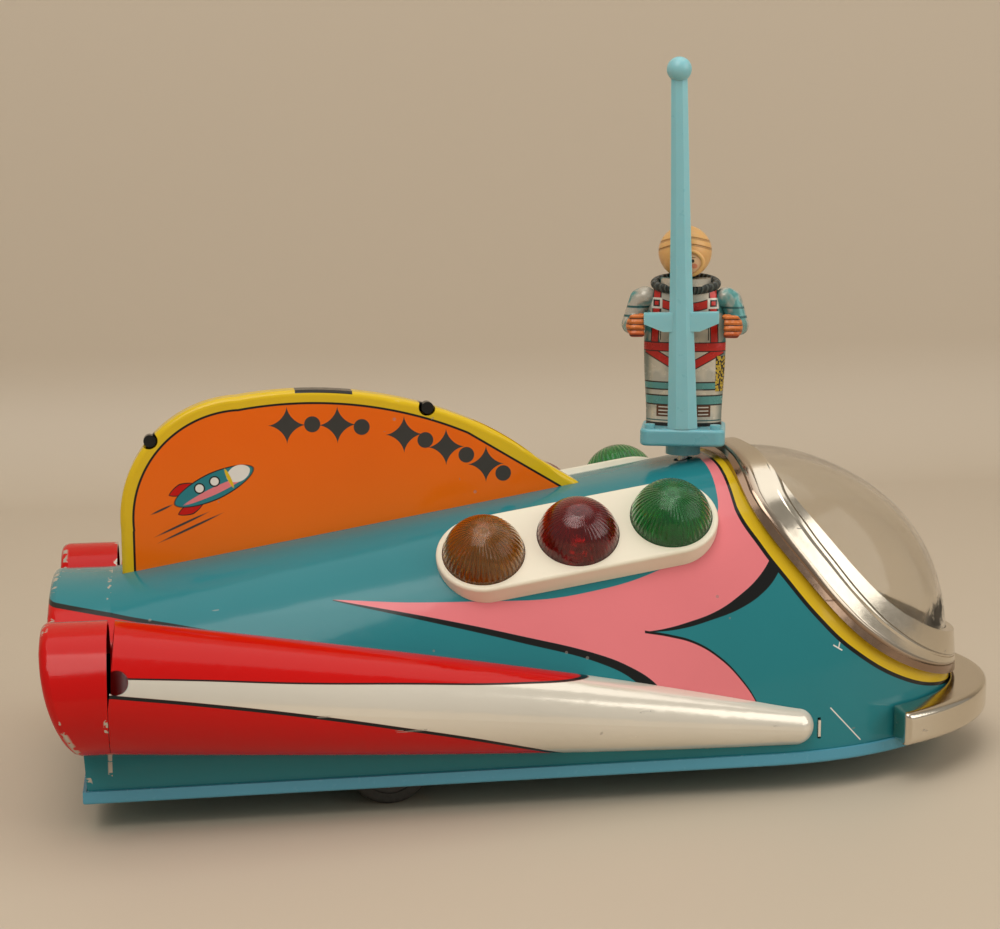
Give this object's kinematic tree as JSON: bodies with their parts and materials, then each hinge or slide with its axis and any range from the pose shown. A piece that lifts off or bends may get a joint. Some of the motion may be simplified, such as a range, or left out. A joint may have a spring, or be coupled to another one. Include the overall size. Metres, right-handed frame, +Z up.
{
  "type": "tin space rocket",
  "caption": "Tinplate toy rocket with side pods, fin, coloured lamps, clear canopy and a turning astronaut, driven along the floor by a swivelling pair of wheels.",
  "frame": {"origin": "on the ground, under the middle of the overall box", "axes": "+X towards the nose, +Y to the rocket's left, +Z up"},
  "size_m": [0.2393, 0.117, 0.1756],
  "materials": {
    "litho_teal": "glossy lithographed tinplate, printed in several colours",
    "litho_red": "glossy lithographed tinplate, red with a silver flash",
    "litho_cap": "glossy lithographed tinplate",
    "litho_orange": "glossy lithographed tinplate, orange with a yellow edge",
    "pan_blue": "gloss enamel",
    "cream_plate": "gloss enamel",
    "nickel": "nickel plating, lightly worn",
    "bright_tin": "plain tinplate",
    "steel": "plain steel",
    "amber": "clear amber, ribbed",
    "red_lens": "clear dark red",
    "green_lens": "clear green, ribbed",
    "clear_plastic": "clear plastic, hazed with age",
    "deck_beige": "satin",
    "blue_plastic": "translucent pale blue plastic",
    "silver_suit": "lithographed tinplate, silver suit with red straps",
    "helmet": "soft yellow-beige plastic",
    "rubber": "matt black",
    "wheel_plastic": "satin black",
    "gear_plastic": "satin",
    "brass": "plain",
    "cell_jacket": "plain jacket with no lettering",
    "card": "pressed board",
    "bulb_glass": "clear"
  },
  "bodies": {
    "rocket": {"base_pan": "pan_blue", "battery_box": "card", "battery_cells": "cell_jacket", "bearing_tube": "bright_tin", "bumper": "nickel", "canopy_dome": "clear_plastic", "canopy_ring": "nickel", "cockpit_deck": "deck_beige", "contact_leaves": "brass", "door_hinge_pin": "steel", "frame_supports": "bright_tin", "hull_shell": "litho_teal", "left_amber_lens": "amber", "left_bulb": "bulb_glass", "left_bulb_socket": "brass", "left_fin_half": "litho_orange", "left_green_lens": "green_lens", "left_lamp_plate": "cream_plate", "left_pod": "litho_red", "left_red_lens": "red_lens", "lower_gear_plate": "bright_tin", "motor_can": "bright_tin", "motor_cap": "card", "rear_axle_bracket": "bright_tin", "rear_cap": "litho_cap", "right_amber_lens": "amber", "right_bulb": "bulb_glass", "right_bulb_socket": "brass", "right_fin_half": "litho_orange", "right_green_lens": "green_lens", "right_lamp_plate": "cream_plate", "right_pod": "litho_red", "right_red_lens": "red_lens", "switch_blade": "brass", "upper_gear_plate": "bright_tin"},
    "figure_stand": {"spindle": "steel", "spindle_gear": "gear_plastic", "crown_pinion": "brass", "stand": "blue_plastic", "mast": "blue_plastic", "astronaut_front": "silver_suit", "astronaut_back": "silver_suit", "astronaut_left_arm": "silver_suit", "astronaut_right_arm": "silver_suit", "astronaut_head": "helmet"},
    "motor_rotor": {"motor_shaft": "steel", "motor_pinion": "brass"},
    "idler": {"idler_shaft": "steel", "idler_gear": "gear_plastic", "idler_pinion": "brass"},
    "drive_turret": {"turret_bracket": "bright_tin"},
    "drive_wheels": {"drive_axle": "steel", "crown_gear": "gear_plastic", "drive_rims": "wheel_plastic", "drive_tyres": "rubber"},
    "rear_wheels": {"rear_axle": "steel", "rear_rims": "wheel_plastic", "rear_tyres": "rubber"},
    "battery_hatch": {"battery_door": "pan_blue"},
    "switch": {"switch_knob": "wheel_plastic"}
  },
  "joints": [
    {"name": "figure_spin", "type": "hinge", "parent": "rocket", "child": "figure_stand", "pos_m": [0.0385, 0, 0.08], "axis": [0, 0, 1], "continuous": true},
    {"name": "motor_spin", "type": "hinge", "parent": "rocket", "child": "motor_rotor", "pos_m": [-0.0015, 0, 0.048], "axis": [0, 0, 1], "continuous": true},
    {"name": "idler_spin", "type": "hinge", "parent": "rocket", "child": "idler", "pos_m": [0.0185, 0, 0.048], "axis": [0, 0, 1], "continuous": true},
    {"name": "turret_swivel", "type": "hinge", "parent": "rocket", "child": "drive_turret", "pos_m": [0.0385, 0, 0.03], "axis": [0, 0, 1], "continuous": true},
    {"name": "drive_roll", "type": "hinge", "parent": "drive_turret", "child": "drive_wheels", "pos_m": [0.0385, 0, 0.011], "axis": [0, 1, 0], "continuous": true},
    {"name": "rear_roll", "type": "hinge", "parent": "rocket", "child": "rear_wheels", "pos_m": [-0.041, 0, 0.01], "axis": [0, 1, 0], "continuous": true},
    {"name": "hatch_hinge", "type": "hinge", "parent": "rocket", "child": "battery_hatch", "pos_m": [-0.1046, 0, 0.0063], "axis": [0, 1, 0], "range_deg": [0, 80]},
    {"name": "switch_slide", "type": "slide", "parent": "rocket", "child": "switch", "axis": [1, 0, 0], "range_m": [0, 0.005]}
  ],
  "couplings": [
    {"joint": "idler_spin", "follows": "figure_spin", "ratio": -3},
    {"joint": "motor_spin", "follows": "figure_spin", "ratio": 9},
    {"joint": "drive_roll", "follows": "figure_spin", "ratio": -0.5}
  ]
}
